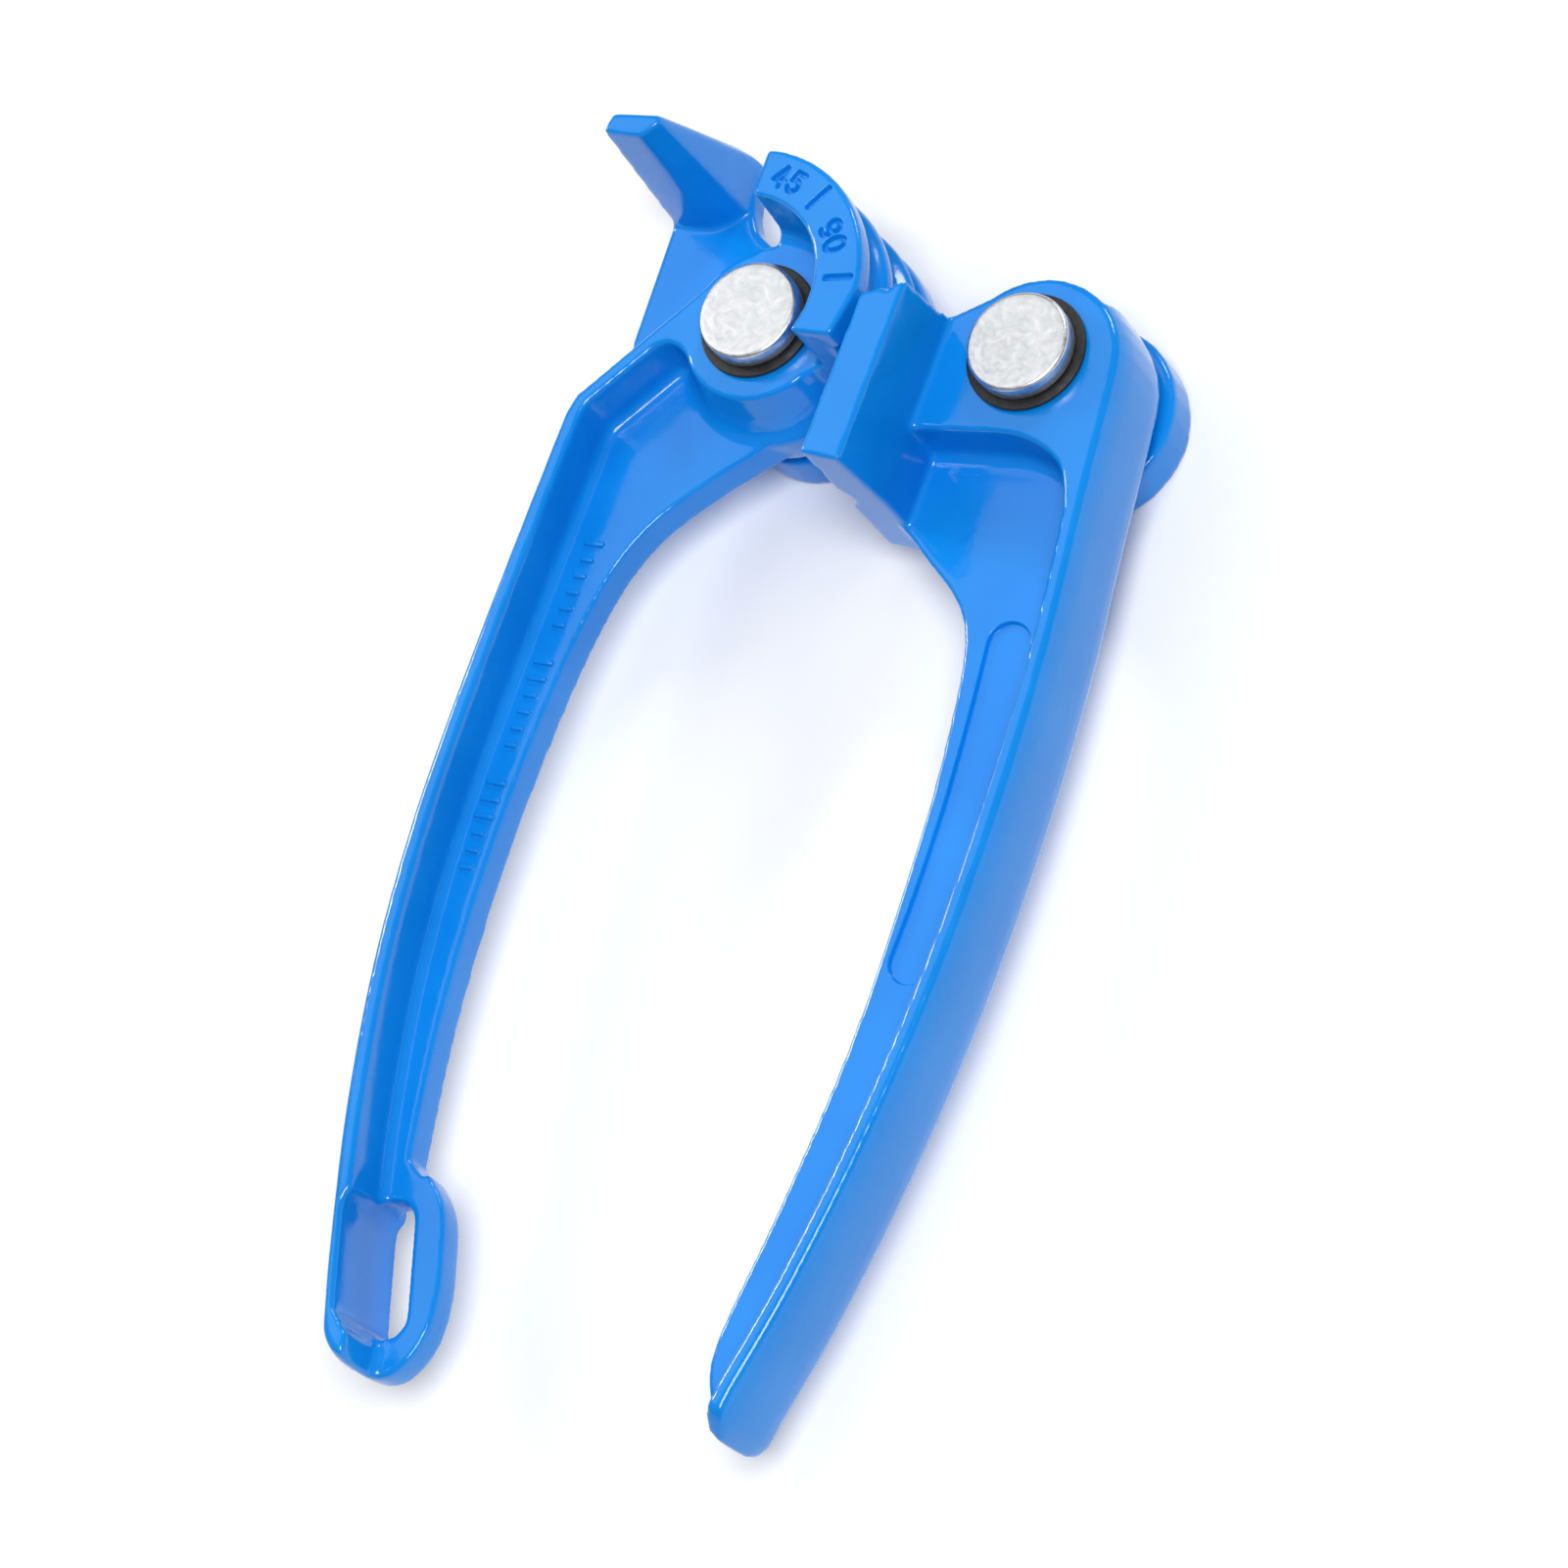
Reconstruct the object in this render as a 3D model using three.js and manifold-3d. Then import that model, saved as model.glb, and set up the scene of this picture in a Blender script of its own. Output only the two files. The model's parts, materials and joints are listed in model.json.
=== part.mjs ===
// A small hand bender for soft tube: a left handle cast in one piece with its grooved die and its
// tube hook, a right handle cast in one piece with its sliding shoe, and a link behind them that
// joins the two by riveted pins. Millimetres, +Z towards the pin heads, handles along -Y. The
// origin is on the back face of the link, midway between the two pins.
import * as THREE from "three";
import { ConvexGeometry } from "three/addons/geometries/ConvexGeometry.js";
import { mergeVertices } from "three/addons/utils/BufferGeometryUtils.js";
import Module from "manifold-3d";

const wasm = await Module();
wasm.setup();

// Driving dimensions
const PIVOT_SPAN = 40; // between the two pins
const DIE_PIN = new THREE.Vector2(-PIVOT_SPAN / 2, 0);
const LEVER_PIN = new THREE.Vector2(PIVOT_SPAN / 2, 0);
const RUNNING_GAP = 0.3; // between faces that touch
const SHANK_RADIUS = 4;
const HOLE_RADIUS = 4.1;
const ARC_STEPS = 14; // segments of an arc in an outline
const ROUND_STEPS = 48; // segments of a full turn
const PAST = 1; // how far a cutter runs past the face it cuts

const LINK_THICKNESS = 6.6;
const LINK_DIE_END_RADIUS = 12.2;
const LINK_LEVER_END_RADIUS = 13.3;
const LINK_WAIST = 9.5; // half the width of the link between its round ends

const CAST_BACK = 9; // the back faces of both castings
const CAST_FRONT = 24.4; // their front faces, round the pins and along the handles' flanges
const WEB_BACK = 11.2;
const WEB_FRONT = 16.3;
const BLOCK_FRONT = 36.1; // the front of the die, the hook and the shoe
const FLANGE = 2.2; // thickness of the handles' outer flanges
const CROWN_HEIGHT = 6; // the stretch over which a crowned wall falls away at the front and back
const CROWN_DROP = 1.3; // how far it falls away
const CROWN_SWELL = 0.95; // how far it stands out at mid height
const FILLET = 1.4; // at the floor of the left handle's front recess
const LEVER_FILLET = 2; // the same on the right handle

const DIE_RADIUS = 19.7;
const DIE_BORE = 13; // the open bowl in front of the pin
const BOWL_FILLET = 2.2; // where the bowl's wall meets the boss
const DIE_DRAFT = 0.1; // slope of the die's loading end
const DIE_END_Y = -5.5; // the end of the die on the handle side
const RELIEF = 0.05; // how far outside the die's rim the tube's centre line runs
// Groove centres from the back to the front, for 1/8, 1/4 and 3/16 inch tube
const GROOVES = [
  { z: 14.9, radius: 1.65 },
  { z: 21.6, radius: 3.3 },
  { z: 30.05, radius: 2.45 },
];
const FLARE = 0.5; // chamfer at each side of a groove

const HOOK_PLATE_FRONT = 12.5;
const HOOK_LEFT = -46.2;
const HOOK_RIGHT = -36;
const HOOK_BACK_Y = 28.9;

const SHOE_FACE_X = 0.2;
const SHOE_BACK = 7.2;
const SHOE_LOW_Y = -22.2;
const SHOE_TILT = -2.6; // degrees between the shoe's pressing face and the Y axis
const CHANNEL_TILT = -7.5; // its channels run out towards its lower end

const FRONT_WASHER = { radius: 8.2, back: CAST_FRONT + RUNNING_GAP, thickness: 0.6 };
const HEAD_BACK = FRONT_WASHER.back + FRONT_WASHER.thickness + RUNNING_GAP;
const HEAD_RADIUS = 7;
const HEAD_THICKNESS = 2.8;
const HEAD_ROUND = 0.5;
const SPACER_WASHER = {
  radius: 8.6,
  back: LINK_THICKNESS + RUNNING_GAP,
  thickness: CAST_BACK - LINK_THICKNESS - 2 * RUNNING_GAP,
};
const COUNTERBORE = { radius: 7.8, depth: 2.9 }; // sinks the rivets' ends below the link's back
const REAR_WASHER_THICKNESS = 0.9;
const REAR_WASHER = {
  radius: 7.4,
  back: COUNTERBORE.depth - RUNNING_GAP - REAR_WASHER_THICKNESS,
  thickness: REAR_WASHER_THICKNESS,
};
const TAIL_RADIUS = 5.4; // the peened end of a pin
const TAIL_THICKNESS = 1.2;

const BLUE_PAINT = { color: 0x0b63c6, roughness: 0.25, metalness: 0 };
const ZINC = { color: 0xc9ccce, roughness: 0.35, metalness: 1 };
const BLACK_PLASTIC = { color: 0x141517, roughness: 0.5, metalness: 0 };

// Shapes and solids
const at = ([x, y]) => new THREE.Vector2(x, y);

// A smooth curve through the points, as a list of its own points
function curve(points, stepsPerSpan = 5) {
  return new THREE.SplineCurve(points.map(at)).getPoints(stepsPerSpan * (points.length - 1));
}

// The same list, moved sideways to the left of its direction
function offset(points, distance) {
  return points.map((point, i) => {
    const before = points[Math.max(i - 1, 0)];
    const after = points[Math.min(i + 1, points.length - 1)];
    const along = after.clone().sub(before).normalize();
    return new THREE.Vector2(point.x - along.y * distance, point.y + along.x * distance);
  });
}

function arc(centre, radius, startDegrees, endDegrees) {
  const turn = THREE.MathUtils.degToRad(endDegrees - startDegrees);
  const steps = Math.max(2, Math.round((Math.abs(turn) / Math.PI) * ARC_STEPS));
  return Array.from({ length: steps + 1 }, (_, i) => {
    const angle = THREE.MathUtils.degToRad(startDegrees) + (turn * i) / steps;
    return new THREE.Vector2(centre.x + radius * Math.cos(angle), centre.y + radius * Math.sin(angle));
  });
}

function outline(...stretches) {
  return new THREE.Shape(stretches.flat().map((p) => (p.isVector2 ? p : at(p))));
}

function solid(geometry) {
  geometry.deleteAttribute("normal");
  geometry.deleteAttribute("uv");
  const merged = mergeVertices(geometry, 1e-4);
  const mesh = new wasm.Mesh({
    numProp: 3,
    vertProperties: merged.attributes.position.array,
    triVerts: new Uint32Array(merged.index.array),
  });
  return new wasm.Manifold(mesh);
}

function prism(shape, back, front) {
  const geometry = new THREE.ExtrudeGeometry(shape, { depth: front - back, bevelEnabled: false });
  return solid(geometry.translate(0, 0, back));
}

// A cutter whose back edges are rounded, so that the recess it leaves has a fillet round its floor
function recess(shape, back, front, fillet = FILLET) {
  const geometry = new THREE.ExtrudeGeometry(shape, {
    depth: front - back - 2 * fillet,
    bevelThickness: fillet,
    bevelSize: fillet,
    bevelOffset: -fillet,
    bevelSegments: 3,
  });
  return solid(geometry.translate(0, 0, back + fillet));
}

// A rail along an edge whose outer side is crowned, so that the casting swells at mid height
function crown(edge, inward) {
  const strip = outline(edge, offset(edge, inward).reverse());
  const geometry = new THREE.ExtrudeGeometry(strip, {
    depth: CAST_FRONT - CAST_BACK - 2 * CROWN_HEIGHT,
    bevelThickness: CROWN_HEIGHT,
    bevelSize: CROWN_DROP,
    bevelOffset: CROWN_SWELL - CROWN_DROP,
    bevelSegments: 4,
  });
  return solid(geometry.translate(0, 0, CAST_BACK + CROWN_HEIGHT));
}

// A profile drawn in X and Z, run along Y, and then tilted about the Z axis
function prismAlongY(shape, low, high, tiltDegrees = 0) {
  const geometry = new THREE.ExtrudeGeometry(shape, { depth: high - low, bevelEnabled: false });
  geometry.rotateX(Math.PI / 2).translate(0, high, 0);
  return solid(geometry.rotateZ(THREE.MathUtils.degToRad(tiltDegrees)));
}

// A profile of radius and height, turned about the Z axis through a pin
function turned(profile, pin, steps = ROUND_STEPS) {
  const geometry = new THREE.LatheGeometry(profile.map((p) => (p.isVector2 ? p : at(p))), steps);
  return solid(geometry.rotateX(Math.PI / 2).translate(pin.x, pin.y, 0));
}

function disc(radius, pin, back, front) {
  return turned([[0, back], [radius, back], [radius, front], [0, front]], pin);
}

function ring(inner, outer, pin, back, front) {
  const section = [[inner, back], [outer, back], [outer, front], [inner, front], [inner, back]];
  return turned(section, pin);
}

function pinHole(pin) {
  return disc(HOLE_RADIUS, pin, SHOE_BACK - PAST, BLOCK_FRONT);
}

function addPiece(name, body, finish) {
  const made = body.getMesh();
  const geometry = new THREE.BufferGeometry();
  geometry.setAttribute("position", new THREE.BufferAttribute(made.vertProperties, 3));
  geometry.setIndex(new THREE.BufferAttribute(made.triVerts, 1));
  const material = new THREE.MeshStandardMaterial({ ...finish, flatShading: true });
  const mesh = new THREE.Mesh(geometry, material);
  mesh.name = name;
  bender.add(mesh);
}

// Left casting: the handle, the die and the hook
const leftOuterEdge = curve([
  [-44.6, -16],
  [-45.4, -34],
  [-46.1, -54],
  [-46.2, -74],
  [-44.7, -94],
  [-41.2, -114],
  [-36.6, -132],
  [-34.2, -140],
]);
const leftInnerEdge = curve([
  [-34.7, -117.5],
  [-37.3, -99],
  [-38.4, -80],
  [-38.1, -61],
  [-36.3, -42],
  [-32.6, -29.5],
  [-24.8, -20],
  [-11.6, -8.6],
]);
const leftLoopEdge = curve([
  [-34.2, -140],
  [-33, -143.2],
  [-30.4, -145.2],
  [-27.2, -144.2],
  [-24.9, -140],
  [-24.8, -134.6],
  [-26.2, -128.8],
  [-28.8, -122.4],
  [-34.7, -117.5],
]);
const BOSS_RADIUS = 11.6;
const ELBOW = [-43.8, -13];
const BOSS_SHOULDER = [[-23.6, 11], [-28.6, 6.3]]; // where the flange runs into the boss

function leftBody() {
  const handle = outline(
    [ELBOW],
    leftOuterEdge,
    leftLoopEdge.slice(1, -1),
    leftInnerEdge,
    arc(DIE_PIN, BOSS_RADIUS, -44, 95),
    BOSS_SHOULDER,
  );
  const crowned = [at(ELBOW), ...leftOuterEdge, ...leftLoopEdge.slice(1, -3)];
  return prism(handle, CAST_BACK, CAST_FRONT).add(crown(crowned, FLANGE));
}

// The boss widens in a hollow curve towards the web
function bossSkirt() {
  return turned([
    [HOLE_RADIUS - 1, CAST_BACK],
    [12.6, CAST_BACK],
    [13.6, 13],
    [14.2, WEB_FRONT],
    [12.9, 17.4],
    [12, 19.4],
    [11.4, 22.4],
    [10.9, CAST_FRONT],
    [HOLE_RADIUS - 1, CAST_FRONT],
    [HOLE_RADIUS - 1, CAST_BACK],
  ], DIE_PIN);
}

// The part of the left handle that is thinner than its flange, seen from the front
function leftRecess() {
  return outline(
    offset(leftOuterEdge, FLANGE),
    [[-31.5, -141.4], [-29.8, -142.4], [-28.6, -151], [-18, -151], [-18, -110], [-30, -60], [-12, -20], [-4, -12]],
    arc(DIE_PIN, BOSS_RADIUS - 0.4, -35, -150),
    [[-31.2, -4.6], [-32.8, -4.2], [-34.4, -4.8]],
    [[ELBOW[0] + 1.9, ELBOW[1] - 1.1]],
  );
}

function slot() {
  const top = new THREE.Vector2(-33.9, -126.2);
  const bottom = new THREE.Vector2(-30.4, -138);
  const radius = 3.1;
  const tilt = THREE.MathUtils.radToDeg(top.clone().sub(bottom).angle());
  const shape = outline(
    arc(top, radius, tilt - 90, tilt + 90),
    arc(bottom, radius, tilt + 90, tilt + 270),
  );
  return prism(shape, CAST_BACK - PAST, CAST_FRONT + PAST);
}

// A half-round groove in the die's rim, as a stretch of its turned section
function grooveSection({ z, radius }) {
  const centre = new THREE.Vector2(DIE_RADIUS + RELIEF, z);
  return [
    [DIE_RADIUS, z - radius - FLARE],
    ...arc(centre, radius, -110, -250),
    [DIE_RADIUS, z + radius + FLARE],
  ];
}

function die() {
  const filletCentre = new THREE.Vector2(DIE_BORE - BOWL_FILLET, CAST_FRONT + BOWL_FILLET);
  const section = [
    [BOSS_RADIUS - 1, CAST_BACK],
    [DIE_RADIUS, CAST_BACK],
    ...GROOVES.flatMap(grooveSection),
    [DIE_RADIUS, BLOCK_FRONT],
    [DIE_BORE, BLOCK_FRONT],
    ...arc(filletCentre, BOWL_FILLET, 0, -90),
    [BOSS_RADIUS - 1, CAST_FRONT],
    [BOSS_RADIUS - 1, CAST_BACK],
  ];
  const lowered = (BLOCK_FRONT - CAST_BACK) * DIE_DRAFT;
  const loadingEnd = outline([
    [DIE_PIN.x - lowered, CAST_BACK - PAST],
    [PAST, CAST_BACK - PAST],
    [PAST, BLOCK_FRONT + PAST],
    [DIE_PIN.x, BLOCK_FRONT + PAST],
  ]);
  const reach = DIE_RADIUS + PAST;
  const quarter = outline([
    [DIE_PIN.x - 4, 0],
    [DIE_PIN.x + 8, DIE_END_Y],
    [-2.1, DIE_END_Y],
    [-0.35, 1.6],
    [PAST, 2],
    [PAST, reach],
    [DIE_PIN.x - 4, reach],
  ]);
  return turned(section, DIE_PIN, 72)
    .intersect(prismAlongY(loadingEnd, DIE_END_Y - PAST, reach))
    .intersect(prism(quarter, CAST_BACK - PAST, BLOCK_FRONT + PAST));
}

// The hook leans back and narrows towards its tip, and its inner face keeps clear of the tube
function hook() {
  const foot = [
    [HOOK_LEFT, 18.1],
    [-42.6, 17.8],
    [-39.4, 18.1],
    [-36.8, 19.4],
    [-35.2, 21],
    [HOOK_RIGHT, HOOK_BACK_Y],
    [HOOK_LEFT, HOOK_BACK_Y],
  ];
  const shoulder = [
    [-38, HOOK_BACK_Y],
    [HOOK_LEFT, HOOK_BACK_Y],
  ];
  const tip = [
    [-45.9, 19.9],
    [-40, 19.7],
    [-37.7, 22],
    [-38.1, 23],
    [-45.3, 22.6],
  ];
  const level = (points, z) => points.map(([x, y]) => new THREE.Vector3(x, y, z));
  return solid(new ConvexGeometry([
    ...level(foot, CAST_BACK),
    ...level(foot, HOOK_PLATE_FRONT),
    ...level(shoulder, WEB_FRONT),
    ...level(tip, BLOCK_FRONT),
  ]));
}

function hookPlate() {
  const plate = outline(
    [[HOOK_RIGHT, HOOK_BACK_Y], [HOOK_LEFT, HOOK_BACK_Y], [HOOK_LEFT, 0], ELBOW],
    [[-20, 0]],
    curve([[-23.6, 11.6], [-28.6, 15.7], [-32.6, 18.3], [-34.4, 21.4]]),
  );
  return prism(plate, CAST_BACK, HOOK_PLATE_FRONT);
}

function dieHandle() {
  const cut = leftRecess();
  return leftBody()
    .subtract(recess(cut, WEB_FRONT, CAST_FRONT + 2 * FILLET + PAST))
    .subtract(prism(cut, CAST_BACK - PAST, WEB_BACK))
    .subtract(slot())
    .add(bossSkirt())
    .add(die())
    .add(hook())
    .add(hookPlate())
    .subtract(pinHole(DIE_PIN));
}

// Right casting: the lever handle and the shoe
const rightOuterEdge = curve([
  [32.6, -1],
  [33.6, -18],
  [35.1, -38],
  [35.5, -59],
  [34.6, -82],
  [32.2, -104],
  [28.7, -124],
  [25.2, -138],
]);
const rightInnerEdge = curve([
  [18.2, -138.6],
  [16.6, -132],
  [19.2, -113.5],
  [21.5, -93],
  [22.1, -72],
  [21.4, -51],
  [18.6, -34.5],
  [9.6, -25.8],
  [5.4, -22.6],
]);
const HEAD_CENTRE = new THREE.Vector2(20.6, -0.9);
const LEVER_HEAD_RADIUS = 11.9;
const leverEnd = curve([[24.5, -141.5], [22.8, -143.4], [20.6, -142]], 3);

function leverBody() {
  const handle = outline(
    [[6, 3.3]],
    arc(HEAD_CENTRE, LEVER_HEAD_RADIUS, 137, 4),
    rightOuterEdge.slice(1),
    leverEnd,
    rightInnerEdge,
  );
  const headSide = arc(HEAD_CENTRE, LEVER_HEAD_RADIUS, 50, 4);
  const crowned = [...headSide, ...rightOuterEdge.slice(1), ...leverEnd.slice(0, 3)];
  return prism(handle, CAST_BACK, CAST_FRONT).add(crown(crowned, -FLANGE));
}

// The part of the lever handle that is thinner than its flange and its head
function leverRecess() {
  return outline(
    offset(rightOuterEdge.slice(7), -FLANGE),
    [[21, -150], [10, -150], [10, -90], [14, -50], [-2, -30], [-2, -12.2]],
    curve([[5, -12.2], [14, -11.4], [22.5, -11.2], [28.8, -14.2], [31.4, -20]]),
  );
}

// The end of the lever's flange slopes off towards its front
function endSlope() {
  const side = [
    [-141, CAST_FRONT],
    [-141, CAST_FRONT + PAST],
    [-146, CAST_FRONT + PAST],
    [-146, CAST_FRONT - 6.5],
  ];
  const corners = [14, 28].flatMap((x) => side.map(([y, z]) => new THREE.Vector3(x, y, z)));
  return solid(new ConvexGeometry(corners));
}

function shoe() {
  const section = outline([
    [SHOE_FACE_X, SHOE_BACK],
    [7.4, SHOE_BACK],
    [7.3, CAST_FRONT],
    [6.1, BLOCK_FRONT],
    [SHOE_FACE_X, BLOCK_FRONT],
  ]);
  const plan = outline([
    [-2, SHOE_LOW_Y + 0.5],
    [9, SHOE_LOW_Y - 0.4],
    [9, 4.4],
    [-2, 0],
  ]);
  const nick = new THREE.SphereGeometry(0.8, 12, 8).translate(3.9, 2.2, BLOCK_FRONT);
  let block = prismAlongY(section, SHOE_LOW_Y - 2 * PAST, 6, SHOE_TILT)
    .intersect(prism(plan, SHOE_BACK - PAST, BLOCK_FRONT + PAST))
    .subtract(solid(nick));
  for (const { z, radius } of GROOVES) {
    const channel = outline(arc(new THREE.Vector2(RELIEF, z), radius, 0, 360).slice(1));
    block = block.subtract(prismAlongY(channel, SHOE_LOW_Y - 3 * PAST, 6 + PAST, CHANNEL_TILT));
  }
  return block;
}

function leverHandle() {
  const cut = leverRecess();
  return leverBody()
    .subtract(recess(cut, WEB_FRONT, CAST_FRONT + 2 * LEVER_FILLET + PAST, LEVER_FILLET))
    .subtract(prism(cut, CAST_BACK - PAST, WEB_BACK))
    .subtract(endSlope())
    .add(shoe())
    .subtract(pinHole(LEVER_PIN));
}

// The link and the small parts on the two pins
function link() {
  const waist = THREE.MathUtils.radToDeg(Math.asin(LINK_WAIST / LINK_LEVER_END_RADIUS));
  const dieWaist = THREE.MathUtils.radToDeg(Math.asin(LINK_WAIST / LINK_DIE_END_RADIUS));
  const plate = outline(
    arc(LEVER_PIN, LINK_LEVER_END_RADIUS, waist - 180, 180 - waist),
    arc(DIE_PIN, LINK_DIE_END_RADIUS, dieWaist, 360 - dieWaist),
  );
  let bar = prism(plate, 0, LINK_THICKNESS);
  for (const pin of [DIE_PIN, LEVER_PIN]) {
    bar = bar
      .subtract(disc(HOLE_RADIUS, pin, -PAST, LINK_THICKNESS + PAST))
      .subtract(disc(COUNTERBORE.radius, pin, -PAST, COUNTERBORE.depth));
  }
  return bar;
}

function rivetPin(pin) {
  const tailFront = REAR_WASHER.back - RUNNING_GAP;
  const tailBack = tailFront - TAIL_THICKNESS;
  const headFront = HEAD_BACK + HEAD_THICKNESS;
  const headRound = new THREE.Vector2(HEAD_RADIUS - HEAD_ROUND, headFront - HEAD_ROUND);
  return turned([
    [0, tailBack],
    [TAIL_RADIUS - 1.6, tailBack],
    [TAIL_RADIUS - 0.4, tailBack + 0.6],
    [TAIL_RADIUS, tailFront - 0.3],
    [TAIL_RADIUS, tailFront],
    [SHANK_RADIUS, tailFront],
    [SHANK_RADIUS, HEAD_BACK],
    [HEAD_RADIUS, HEAD_BACK],
    ...arc(headRound, HEAD_ROUND, 0, 90),
    [0, headFront],
  ], pin);
}

function washer({ radius, back, thickness }, pin) {
  return ring(HOLE_RADIUS, radius, pin, back, back + thickness);
}

const bender = new THREE.Group();
addPiece("die_handle", dieHandle(), BLUE_PAINT);
addPiece("lever_handle", leverHandle(), BLUE_PAINT);
addPiece("link", link(), BLUE_PAINT);
for (const [place, pin] of [["die", DIE_PIN], ["lever", LEVER_PIN]]) {
  addPiece(`pin_${place}`, rivetPin(pin), ZINC);
  addPiece(`front_washer_${place}`, washer(FRONT_WASHER, pin), BLACK_PLASTIC);
  addPiece(`spacer_washer_${place}`, washer(SPACER_WASHER, pin), BLACK_PLASTIC);
  addPiece(`rear_washer_${place}`, washer(REAR_WASHER, pin), ZINC);
}

export default bender;
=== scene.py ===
import math

import bmesh
import bpy
import numpy as np
from mathutils import Matrix, Vector
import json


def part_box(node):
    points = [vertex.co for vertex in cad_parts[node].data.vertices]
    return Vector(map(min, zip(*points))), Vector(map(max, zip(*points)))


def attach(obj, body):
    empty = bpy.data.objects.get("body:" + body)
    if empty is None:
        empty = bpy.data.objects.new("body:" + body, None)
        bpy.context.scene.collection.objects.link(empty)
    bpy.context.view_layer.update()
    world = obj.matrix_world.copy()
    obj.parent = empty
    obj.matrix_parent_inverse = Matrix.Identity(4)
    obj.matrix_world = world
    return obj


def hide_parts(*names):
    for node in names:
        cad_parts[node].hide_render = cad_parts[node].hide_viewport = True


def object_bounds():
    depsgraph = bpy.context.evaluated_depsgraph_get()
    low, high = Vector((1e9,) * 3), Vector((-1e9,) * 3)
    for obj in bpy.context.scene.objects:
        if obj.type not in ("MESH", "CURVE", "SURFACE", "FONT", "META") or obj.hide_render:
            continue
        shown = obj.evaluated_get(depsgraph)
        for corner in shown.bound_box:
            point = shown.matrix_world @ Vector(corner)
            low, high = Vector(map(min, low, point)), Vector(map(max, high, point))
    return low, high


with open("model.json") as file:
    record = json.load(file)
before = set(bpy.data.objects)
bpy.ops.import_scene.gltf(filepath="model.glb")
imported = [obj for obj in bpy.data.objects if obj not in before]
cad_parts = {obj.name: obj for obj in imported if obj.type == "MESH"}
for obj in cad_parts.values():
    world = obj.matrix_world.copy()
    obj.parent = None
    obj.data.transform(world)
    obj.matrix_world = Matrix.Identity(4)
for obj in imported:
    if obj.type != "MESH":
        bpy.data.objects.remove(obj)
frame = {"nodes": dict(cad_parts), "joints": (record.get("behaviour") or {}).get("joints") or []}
cad_low, cad_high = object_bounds()

MM = 0.001

# ---------------------------------------------------------------- places taken from the frame
JOINT_PLACE = {joint["name"]: Vector(joint["pos_m"]) for joint in frame["joints"]}
PINS = {"die": JOINT_PLACE["link_pivot"].xy, "lever": JOINT_PLACE["lever_pivot"].xy}
BLOCK_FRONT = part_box("die_handle")[1].z

# ---------------------------------------------------------------- sizes that its boxes don't give
WEB_FRONT = 16.3 * MM  # the front faces of both handles' webs
SHANK_RADIUS = 4 * MM
HOLE_RADIUS = 4.1 * MM
# A pin's tail is hammered to a low dome: radii and rises from its lowest point, in millimetres
TAIL_DOME = [(0, 0), (2.2, 0.08), (4, 0.3)]
TAIL_RADIUS = 5.4 * MM
TAIL_RIM = 1.15 * MM  # the rise where the tail reaches its full radius
TAIL_EDGE = 0.8 * MM
HEAD_THICKNESS = 2.8 * MM
HEAD_EDGE = 0.55 * MM  # rounding of a pin head's front edge
HEAD_BACK_EDGE = 0.25 * MM
HEAD_DISH = 0.08 * MM  # how far the head's middle lies below its rim
RUNNING_GAP = 0.3 * MM  # between a pin's tail and its washer
WASHER_EDGE = 0.18 * MM
CAST_VOXEL = 0.33 * MM
CAST_PASSES = 16  # of smoothing
LINK_VOXEL = 0.4 * MM
LINK_PASSES = 14

# ---------------------------------------------------------------- camera
CAMERA_PLACE = Vector((0.3233, -0.2283, 0.5581))
CAMERA_BACK = Vector((0.494, -0.2586, 0.8301))
CAMERA_UP = Vector((-0.1448, 0.9169, 0.3718))
LENS = 117.3


def add_object(name, data):
    made = bpy.data.objects.new(name, data)
    bpy.context.scene.collection.objects.link(made)
    return made


def make_camera():
    data = bpy.data.cameras.new("camera")
    data.sensor_width = 36
    data.lens = LENS
    data.clip_start = 0.01
    camera = add_object("camera", data)
    back = CAMERA_BACK.normalized()
    right = CAMERA_UP.cross(back).normalized()
    turn = Matrix((right, back.cross(right), back)).transposed().to_4x4()
    camera.matrix_world = Matrix.Translation(CAMERA_PLACE) @ turn
    bpy.context.scene.camera = camera


# ---------------------------------------------------------------- floor and lights
FLOOR_HALF = 3.0
FLOOR_HEIGHT = cad_low.z - 0.2 * MM  # just clear of the lowest face
LIGHTS_AIM = Vector((0, -0.06, 0.01))
SKY_STRENGTH = 0.18
# Name, place, diameter in metres and power in watts
LIGHTS = [
    ("softbox", (-0.42, 0.17, 0.72), 0.7, 1.35),
    ("left", (-0.75, 0.1, 0.4), 0.16, 2),
    ("top", (0.15, 0.8, 0.6), 0.25, 2.5),
    ("front", (0.4, -0.25, 0.9), 0.45, 8),
]


def area_light(name, place, size, power):
    data = bpy.data.lights.new(name, "AREA")
    data.shape = "DISK"
    data.size = size
    data.energy = power
    light = add_object(name, data)
    light.location = place
    light.rotation_mode = "QUATERNION"
    light.rotation_quaternion = (LIGHTS_AIM - Vector(place)).to_track_quat("-Z", "Y")


def make_floor():
    mesh = bpy.data.meshes.new("floor")
    signs = [(-1, -1), (1, -1), (1, 1), (-1, 1)]
    corners = [(x * FLOOR_HALF, y * FLOOR_HALF, FLOOR_HEIGHT) for x, y in signs]
    mesh.from_pydata(corners, [], [(0, 1, 2, 3)])
    floor = add_object("floor", mesh)
    material = bpy.data.materials.new("floor_paper")
    material.use_nodes = True
    shader = material.node_tree.nodes["Principled BSDF"]
    shader.inputs["Base Color"].default_value = (0.93, 0.93, 0.93, 1)
    shader.inputs["Roughness"].default_value = 0.9
    mesh.materials.append(material)


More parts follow.
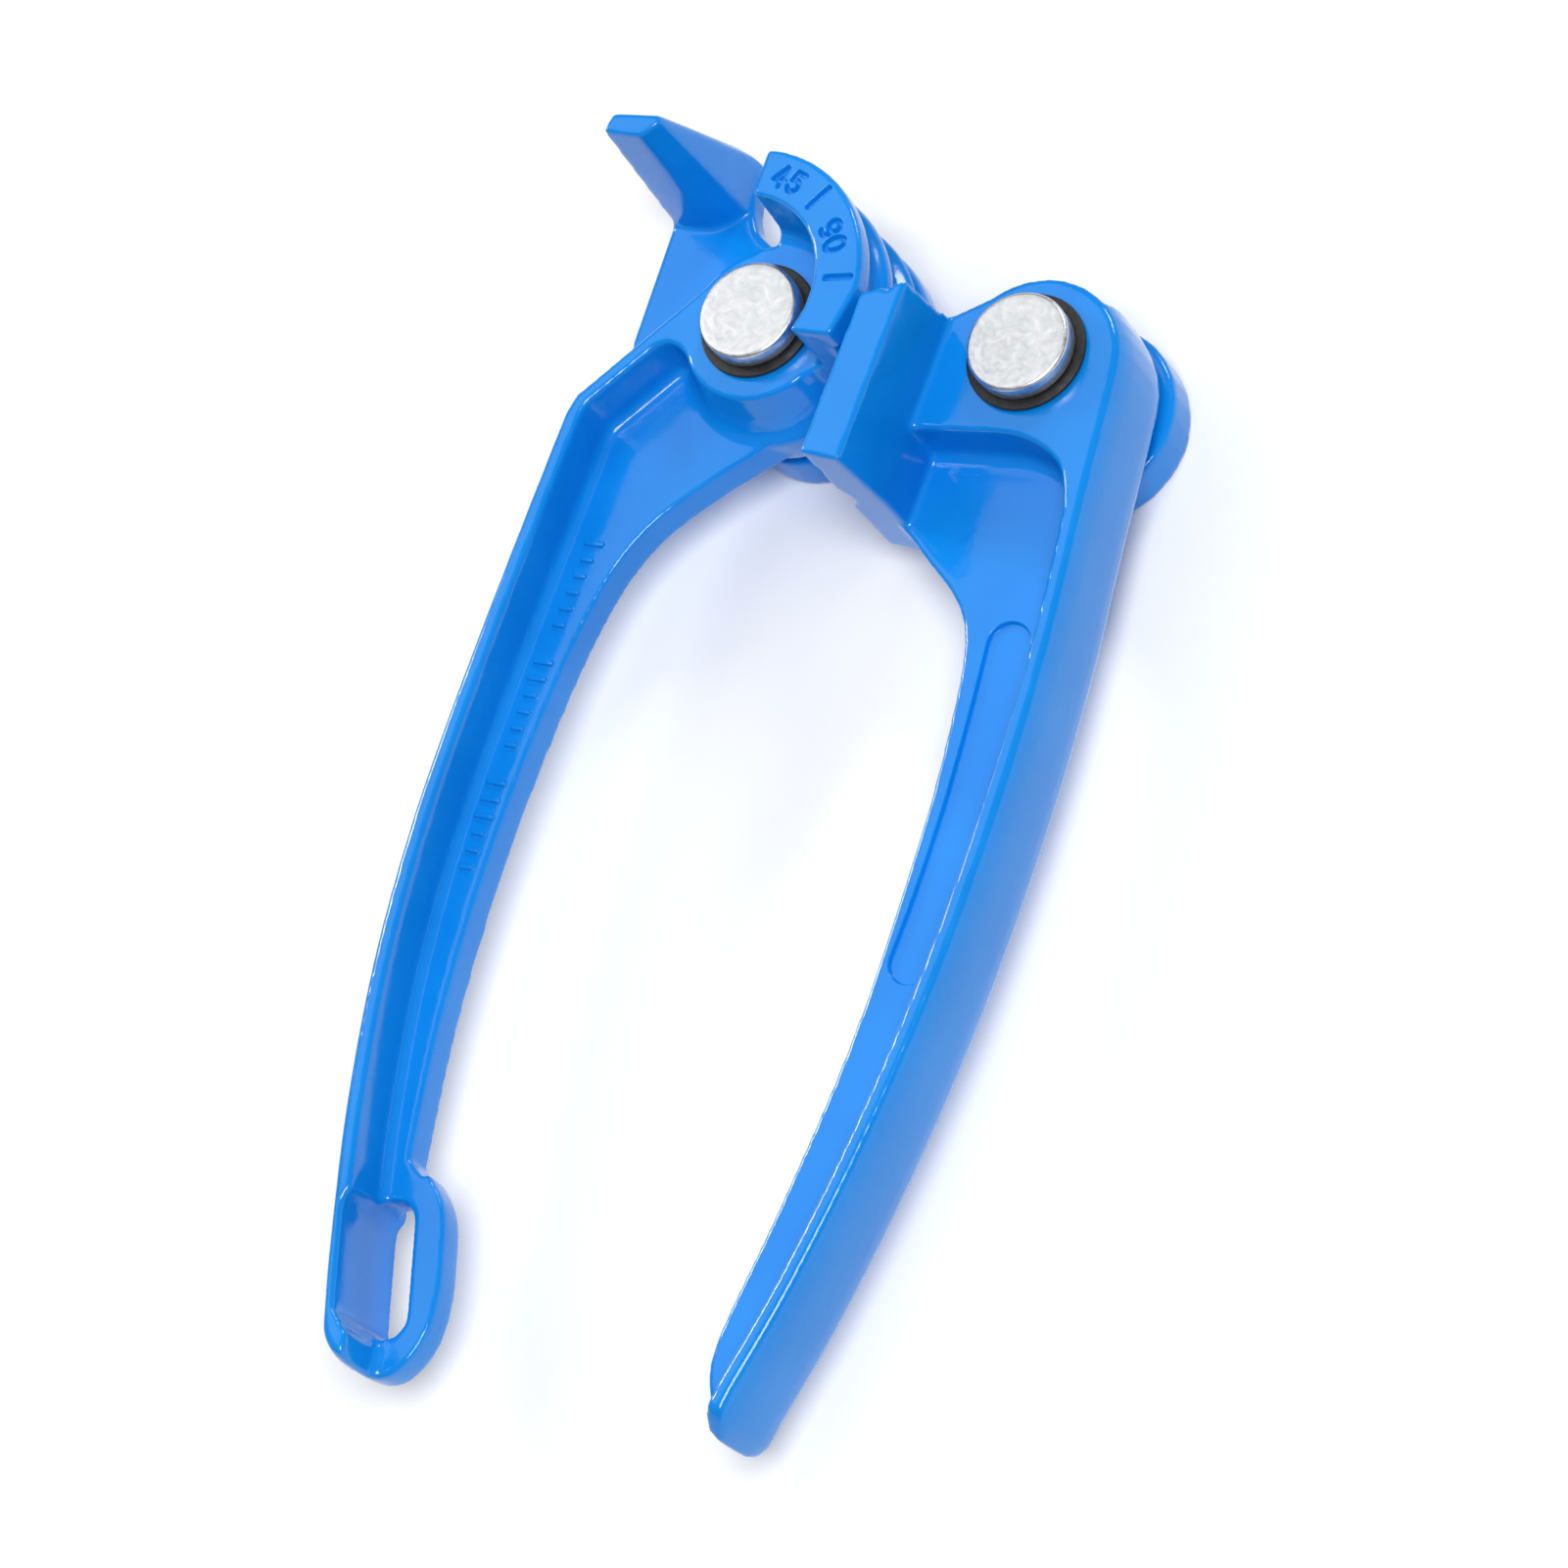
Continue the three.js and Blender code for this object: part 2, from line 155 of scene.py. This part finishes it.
def make_lights():
    world = bpy.data.worlds.new("studio")
    bpy.context.scene.world = world
    world.use_nodes = True
    background = world.node_tree.nodes["Background"]
    background.inputs["Color"].default_value = (1, 1, 1, 1)
    background.inputs["Strength"].default_value = SKY_STRENGTH
    for name, place, size, power in LIGHTS:
        area_light(name, place, size, power)
    # The default transform would wash out the blue
    bpy.context.scene.view_settings.view_transform = "Standard"


# ---------------------------------------------------------------- materials
NOISE_LOW, NOISE_HIGH = 0.3, 0.7  # most of a noise texture's values lie between these


class Surface:
    """A material with short ways to lay noise over its colour, roughness and relief."""

    def __init__(self, name, colour, roughness, metallic=0.0):
        self.material = bpy.data.materials.new(name)
        self.material.use_nodes = True
        self.tree = self.material.node_tree
        self.shader = self.tree.nodes["Principled BSDF"]
        self.shader.inputs["Base Color"].default_value = (*colour, 1)
        self.shader.inputs["Roughness"].default_value = roughness
        self.shader.inputs["Metallic"].default_value = metallic
        self.place = self.tree.nodes.new("ShaderNodeTexCoord").outputs["Object"]
        self.last_bump = None

    def noise(self, scale, detail, distortion=0.0):
        node = self.tree.nodes.new("ShaderNodeTexNoise")
        node.inputs["Scale"].default_value = scale
        node.inputs["Detail"].default_value = detail
        node.inputs["Distortion"].default_value = distortion
        self.tree.links.new(self.place, node.inputs["Vector"])
        return node.outputs["Fac"]

    def turning_marks(self, scale):
        """Uneven rings round the piece's own Z axis."""
        node = self.tree.nodes.new("ShaderNodeTexWave")
        node.wave_type = "RINGS"
        node.rings_direction = "Z"
        node.inputs["Scale"].default_value = scale
        node.inputs["Distortion"].default_value = 7
        node.inputs["Detail Scale"].default_value = 0.8
        self.tree.links.new(self.place, node.inputs["Vector"])
        return node.outputs["Fac"]

    def tint(self, value, dark, light):
        node = self.tree.nodes.new("ShaderNodeValToRGB")
        node.color_ramp.elements[0].position = NOISE_LOW
        node.color_ramp.elements[0].color = (*dark, 1)
        node.color_ramp.elements[1].position = NOISE_HIGH
        node.color_ramp.elements[1].color = (*light, 1)
        self.tree.links.new(value, node.inputs["Fac"])
        self.tree.links.new(node.outputs["Color"], self.shader.inputs["Base Color"])

    def roughen(self, value, low, high):
        node = self.tree.nodes.new("ShaderNodeMapRange")
        node.inputs["From Min"].default_value = NOISE_LOW
        node.inputs["From Max"].default_value = NOISE_HIGH
        node.inputs["To Min"].default_value = low
        node.inputs["To Max"].default_value = high
        self.tree.links.new(value, node.inputs["Value"])
        self.tree.links.new(node.outputs["Result"], self.shader.inputs["Roughness"])

    def bump(self, value, depth):
        """Relief of a depth in metres, laid over the relief that is already there."""
        node = self.tree.nodes.new("ShaderNodeBump")
        node.inputs["Distance"].default_value = depth
        node.inputs["Strength"].default_value = 1
        self.tree.links.new(value, node.inputs["Height"])
        if self.last_bump:
            self.tree.links.new(self.last_bump, node.inputs["Normal"])
        self.last_bump = node.outputs["Normal"]
        self.tree.links.new(self.last_bump, self.shader.inputs["Normal"])


def blue_enamel():
    paint = Surface("blue_enamel", (0.003, 0.225, 0.71), 0.12)
    paint.shader.inputs["IOR"].default_value = 1.45
    paint.tint(paint.noise(60, 2), (0.002, 0.21, 0.68), (0.004, 0.24, 0.74))
    paint.roughen(paint.noise(240, 4), 0.08, 0.17)
    paint.bump(paint.noise(420, 2), 0.03 * MM)
    paint.bump(paint.noise(1800, 2), 0.008 * MM)
    return paint.material


def zinc_plate():
    zinc = Surface("zinc_plate", (0.82, 0.83, 0.84), 0.3, 1.0)
    zinc.tint(zinc.noise(500, 5, 1.5), (0.64, 0.66, 0.68), (0.8, 0.81, 0.825))
    zinc.roughen(zinc.noise(1500, 6, 0.4), 0.28, 0.46)
    zinc.bump(zinc.turning_marks(230), 0.009 * MM)
    zinc.bump(zinc.noise(500, 6, 1.5), 0.04 * MM)
    zinc.bump(zinc.noise(3500, 4), 0.006 * MM)
    return zinc.material


def black_fibre():
    fibre = Surface("black_fibre", (0.012, 0.012, 0.013), 0.5)
    fibre.tint(fibre.noise(1200, 4), (0.008, 0.008, 0.009), (0.022, 0.021, 0.02))
    fibre.roughen(fibre.noise(2000, 3), 0.4, 0.6)
    fibre.bump(fibre.noise(2600, 4), 0.012 * MM)
    return fibre.material


# ---------------------------------------------------------------- castings
def finished(name, mesh, body, material, nodes, origin=None):
    """A piece that stands for its CAD nodes and rides on its body."""
    mesh.name = name
    piece = add_object(name, mesh)
    if origin is not None:
        mesh.transform(Matrix.Translation(-origin))
        piece.location = origin
    mesh.materials.clear()
    mesh.materials.append(material)
    mesh.shade_smooth()
    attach(piece, body)
    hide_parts(*nodes)
    return piece


def softened(node, voxel, passes):
    """The node's solid with the rounded edges and hollow fillets of a painted casting."""
    source = frame["nodes"][node]
    rough = add_object("rough", source.data.copy())
    remesh = rough.modifiers.new("remesh", "REMESH")
    remesh.mode = "VOXEL"
    remesh.voxel_size = voxel
    smooth = rough.modifiers.new("smooth", "SMOOTH")
    smooth.factor = 0.5
    smooth.iterations = passes
    bpy.context.view_layer.update()
    graph = bpy.context.evaluated_depsgraph_get()
    mesh = bpy.data.meshes.new_from_object(rough.evaluated_get(graph))
    bpy.data.objects.remove(rough)
    return mesh


def distance_to_strokes(points, strokes):
    """How far each point in the plane is from the nearest stroke, a list of its corners."""
    nearest = np.full(len(points), 1.0)
    for stroke in strokes:
        for start, end in zip(stroke[:-1], stroke[1:]):
            start, end = np.array(start), np.array(end)
            along = end - start
            share = np.clip((points - start) @ along / max(along @ along, 1e-16), 0, 1)
            away = points - (start + share[:, None] * along)
            nearest = np.minimum(nearest, np.hypot(away[:, 0], away[:, 1]))
    return nearest


LEVEL_TOLERANCE = 0.15 * MM  # a vertex this close to a face's level lies on that face
MARK_CUTS = 2  # times that the mesh round a mark is subdivided
MARK_MARGIN = 2.2  # how far the subdivided stretch goes past a stroke, in its edge's widths


def mark(mesh, strokes, level, height, half_width, soft):
    """Raises soft-edged strokes on a flat face at a level, or sinks them if height is below 0."""
    bm = bmesh.new()
    bm.from_mesh(mesh)
    for _ in range(MARK_CUTS):
        points = np.array([v.co for v in bm.verts])
        flat = np.abs(points[:, 2] - level) < LEVEL_TOLERANCE
        away = np.ones(len(points))
        away[flat] = distance_to_strokes(points[flat, :2], strokes)
        close = away < half_width + MARK_MARGIN * soft
        chosen = [v for v, wanted in zip(bm.verts, close) if wanted]
        edges = {edge for vert in chosen for edge in vert.link_edges}
        bmesh.ops.subdivide_edges(bm, edges=list(edges), cuts=1, use_grid_fill=True)
    points = np.array([v.co for v in bm.verts])
    flat = np.abs(points[:, 2] - level) < LEVEL_TOLERANCE
    away = distance_to_strokes(points[:, :2], strokes)
    share = np.clip((half_width + soft - away) / soft, 0, 1)
    lift = height * share * share * (3 - 2 * share)
    for vert, wanted, amount in zip(bm.verts, flat, lift):
        if wanted and amount:
            vert.co.z += amount
    bm.to_mesh(mesh)
    bm.free()


# ---------------------------------------------------------------- marks on the castings
DIGIT_HEIGHT = 3.1 * MM
DIGIT_PITCH = 0.82  # between the digits of a number, in heights
DIGIT_MIDDLE = 0.3  # half the width of a digit, in heights
# Each number's bearing round the die pin, in degrees, and the radius of its foot
NUMBERS = [("45", 74, 14.7 * MM), ("90", 31, 14.5 * MM)]
BAR_BEARINGS = (54, 9)
BAR_INNER, BAR_OUTER = 14.9 * MM, 18.4 * MM
ENGRAVED = {"level": BLOCK_FRONT, "height": -0.9 * MM, "soft": 0.16 * MM}


def bend(centre, radius_x, radius_y, start, end, steps=8):
    turns = np.radians(np.linspace(start, end, steps + 1))
    x, y = centre
    return [(x + radius_x * math.cos(a), y + radius_y * math.sin(a)) for a in turns]


# Each digit is drawn in a box 0.6 wide and 1 high
DIGITS = {
    "0": [bend((0.3, 0.5), 0.28, 0.46, 90, 450, 16)],
    "4": [[(0.42, 0.04), (0.42, 0.96), (0.02, 0.34), (0.6, 0.34)]],
    "5": [
        [(0.55, 0.95), (0.12, 0.95), (0.08, 0.56)] + bend((0.28, 0.33), 0.28, 0.28, 120, -150, 10),
    ],
    "9": [
        bend((0.3, 0.68), 0.26, 0.27, 0, 360, 12),
        [(0.56, 0.68), (0.54, 0.42)] + bend((0.28, 0.3), 0.26, 0.26, 0, -120, 6),
    ],
}


def on_die(degrees, radius):
    """A point on the die's front face, by its bearing and distance from the die pin."""
    turn = math.radians(degrees)
    pin = PINS["die"]
    return (pin.x + radius * math.cos(turn), pin.y + radius * math.sin(turn))


def number_on_die(text, degrees, base_radius):
    """The strokes of a number that reads clockwise, with its top outward."""
    strokes = []
    height = DIGIT_HEIGHT
    pitch = DIGIT_PITCH * height
    middle_radius = base_radius + height / 2
    for place, digit in enumerate(text):
        shift = (place - (len(text) - 1) / 2) * pitch - DIGIT_MIDDLE * height
        for stroke in DIGITS[digit]:
            bent = []
            for x, y in stroke:
                bearing = degrees - math.degrees((shift + x * height) / middle_radius)
                bent.append(on_die(bearing, base_radius + y * height))
            strokes.append(bent)
    return strokes


def degree_marks(mesh):
    """The numbers and bars sunk into the die's front face."""
    numbers = [stroke for number in NUMBERS for stroke in number_on_die(*number)]
    mark(mesh, numbers, half_width=0.24 * MM, **ENGRAVED)
    bars = [[on_die(bearing, BAR_INNER), on_die(bearing, BAR_OUTER)] for bearing in BAR_BEARINGS]
    mark(mesh, bars, half_width=0.34 * MM, **ENGRAVED)


# Raised bars along the web of the die handle, in millimetres
GROUPS, GROUP_PITCH = 3, 17.5
BARS, BAR_PITCH = 6, 2.4
LONG_BAR_HALF, SHORT_BAR_HALF = 1.2, 0.65
BARS_TOP_Y, BARS_LENGTH = -31, 48
BARS_X = (-38.6, -4.86, 2.46)  # at the top, with the slope and the curve over the length


def groove_marks(mesh):
    """Groups of bars along the web; the number of long bars in a group names its groove."""
    strokes = []
    top_x, slope, curve = BARS_X
    for group in range(GROUPS):
        for bar in range(BARS):
            along = (GROUP_PITCH * group + BAR_PITCH * bar) / BARS_LENGTH
            y = BARS_TOP_Y - BARS_LENGTH * along
            x = top_x + slope * along + curve * along * along
            half = LONG_BAR_HALF if bar <= group else SHORT_BAR_HALF
            strokes.append([((x - half) * MM, y * MM), ((x + half) * MM, y * MM)])
    mark(mesh, strokes, WEB_FRONT, height=0.5 * MM, half_width=0.26 * MM, soft=0.18 * MM)


# The middle line of the pocket in the lever handle's web, in millimetres
POCKET_MIDDLE = [
    (25.7, -36.2),
    (26.2, -43),
    (26.6, -50),
    (26.9, -58),
    (26.9, -66),
    (26.7, -73),
    (26.3, -79.6),
]


def grip_pocket(mesh):
    """A shallow pocket with round ends along the web of the lever handle."""
    middle = [(x * MM, y * MM) for x, y in POCKET_MIDDLE]
    mark(mesh, [middle], WEB_FRONT, height=-0.7 * MM, half_width=2.85 * MM, soft=0.25 * MM)


def die_handle(paint):
    mesh = softened("die_handle", CAST_VOXEL, CAST_PASSES)
    degree_marks(mesh)
    groove_marks(mesh)
    finished("cast_die_handle", mesh, "die_handle", paint, ["die_handle"])


def lever_handle(paint):
    mesh = softened("lever_handle", CAST_VOXEL, CAST_PASSES)
    grip_pocket(mesh)
    finished("cast_lever_handle", mesh, "lever", paint, ["lever_handle"])


def link(paint):
    mesh = softened("link", LINK_VOXEL, LINK_PASSES)
    finished("cast_link", mesh, "link", paint, ["link"])


# ---------------------------------------------------------------- pins and washers
ON_AXIS = 1e-9  # a radius below this is a point on the axis


def turned(profile, steps=128):
    """A profile of radius and height turned about Z, which starts and ends on the axis or closes."""
    bm = bmesh.new()
    closed = profile[0] == profile[-1]
    points = profile[:-1] if closed else profile
    rings = []
    for radius, height in points:
        if radius < ON_AXIS:
            rings.append([bm.verts.new((0, 0, height))])
            continue
        ring = []
        for i in range(steps):
            turn = 2 * math.pi * i / steps
            ring.append(bm.verts.new((radius * math.cos(turn), radius * math.sin(turn), height)))
        rings.append(ring)
    pairs = list(zip(rings[:-1], rings[1:]))
    if closed:
        pairs.append((rings[-1], rings[0]))
    for low, high in pairs:
        for i in range(steps):
            j = (i + 1) % steps
            corners = [low[i % len(low)], low[j % len(low)]]
            corners += [high[j % len(high)], high[i % len(high)]]
            bm.faces.new(list(dict.fromkeys(corners)))
    bmesh.ops.recalc_face_normals(bm, faces=bm.faces)
    mesh = bpy.data.meshes.new("turned")
    bm.to_mesh(mesh)
    bm.free()
    return mesh


def quarter(centre, radius, start, end, steps=6):
    return bend(centre, radius, radius, start, end, steps)


def pin(place, zinc):
    node = f"pin_{place}"
    low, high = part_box(node)
    centre = PINS[place].to_3d()
    head_radius = (high.x - low.x) / 2
    head_back = high.z - HEAD_THICKNESS
    tail_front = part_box(f"rear_washer_{place}")[0].z - RUNNING_GAP
    profile = [(radius * MM, low.z + rise * MM) for radius, rise in TAIL_DOME]
    profile += quarter((TAIL_RADIUS - TAIL_EDGE, low.z + TAIL_RIM), TAIL_EDGE, -80, 0)
    profile += [(TAIL_RADIUS, tail_front), (SHANK_RADIUS, tail_front), (SHANK_RADIUS, head_back)]
    # The head, slightly dished
    back_round = (head_radius - HEAD_BACK_EDGE, head_back + HEAD_BACK_EDGE)
    profile += quarter(back_round, HEAD_BACK_EDGE, -90, 0, 3)
    profile += quarter((head_radius - HEAD_EDGE, high.z - HEAD_EDGE), HEAD_EDGE, 0, 90, 8)
    profile += [(head_radius * 0.8, high.z), (head_radius * 0.45, high.z - HEAD_DISH / 2)]
    profile += [(0, high.z - HEAD_DISH)]
    mesh = turned(profile)
    mesh.transform(Matrix.Translation(centre))
    finished(f"riveted_{node}", mesh, "link", zinc, [node], centre)


def washer(node, body, material):
    low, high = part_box(node)
    centre = Vector(((low.x + high.x) / 2, (low.y + high.y) / 2, 0))
    outer = (high.x - low.x) / 2
    rounding = outer - WASHER_EDGE
    profile = [(HOLE_RADIUS, low.z), (rounding, low.z)]
    profile += quarter((rounding, low.z + WASHER_EDGE), WASHER_EDGE, -60, 0, 3)
    profile += quarter((rounding, high.z - WASHER_EDGE), WASHER_EDGE, 0, 90, 4)
    profile += [(HOLE_RADIUS, high.z), (HOLE_RADIUS, low.z)]
    mesh = turned(profile, 96)
    mesh.transform(Matrix.Translation(centre))
    finished(f"flat_{node}", mesh, body, material, [node], centre)


# ---------------------------------------------------------------- the whole tool
make_camera()
make_floor()
make_lights()
enamel = blue_enamel()
plated = zinc_plate()
fibre_black = black_fibre()
die_handle(enamel)
lever_handle(enamel)
link(enamel)
for place, body in (("die", "die_handle"), ("lever", "lever")):
    pin(place, plated)
    washer(f"front_washer_{place}", body, fibre_black)
    washer(f"spacer_washer_{place}", body, fibre_black)
    washer(f"rear_washer_{place}", "link", plated)
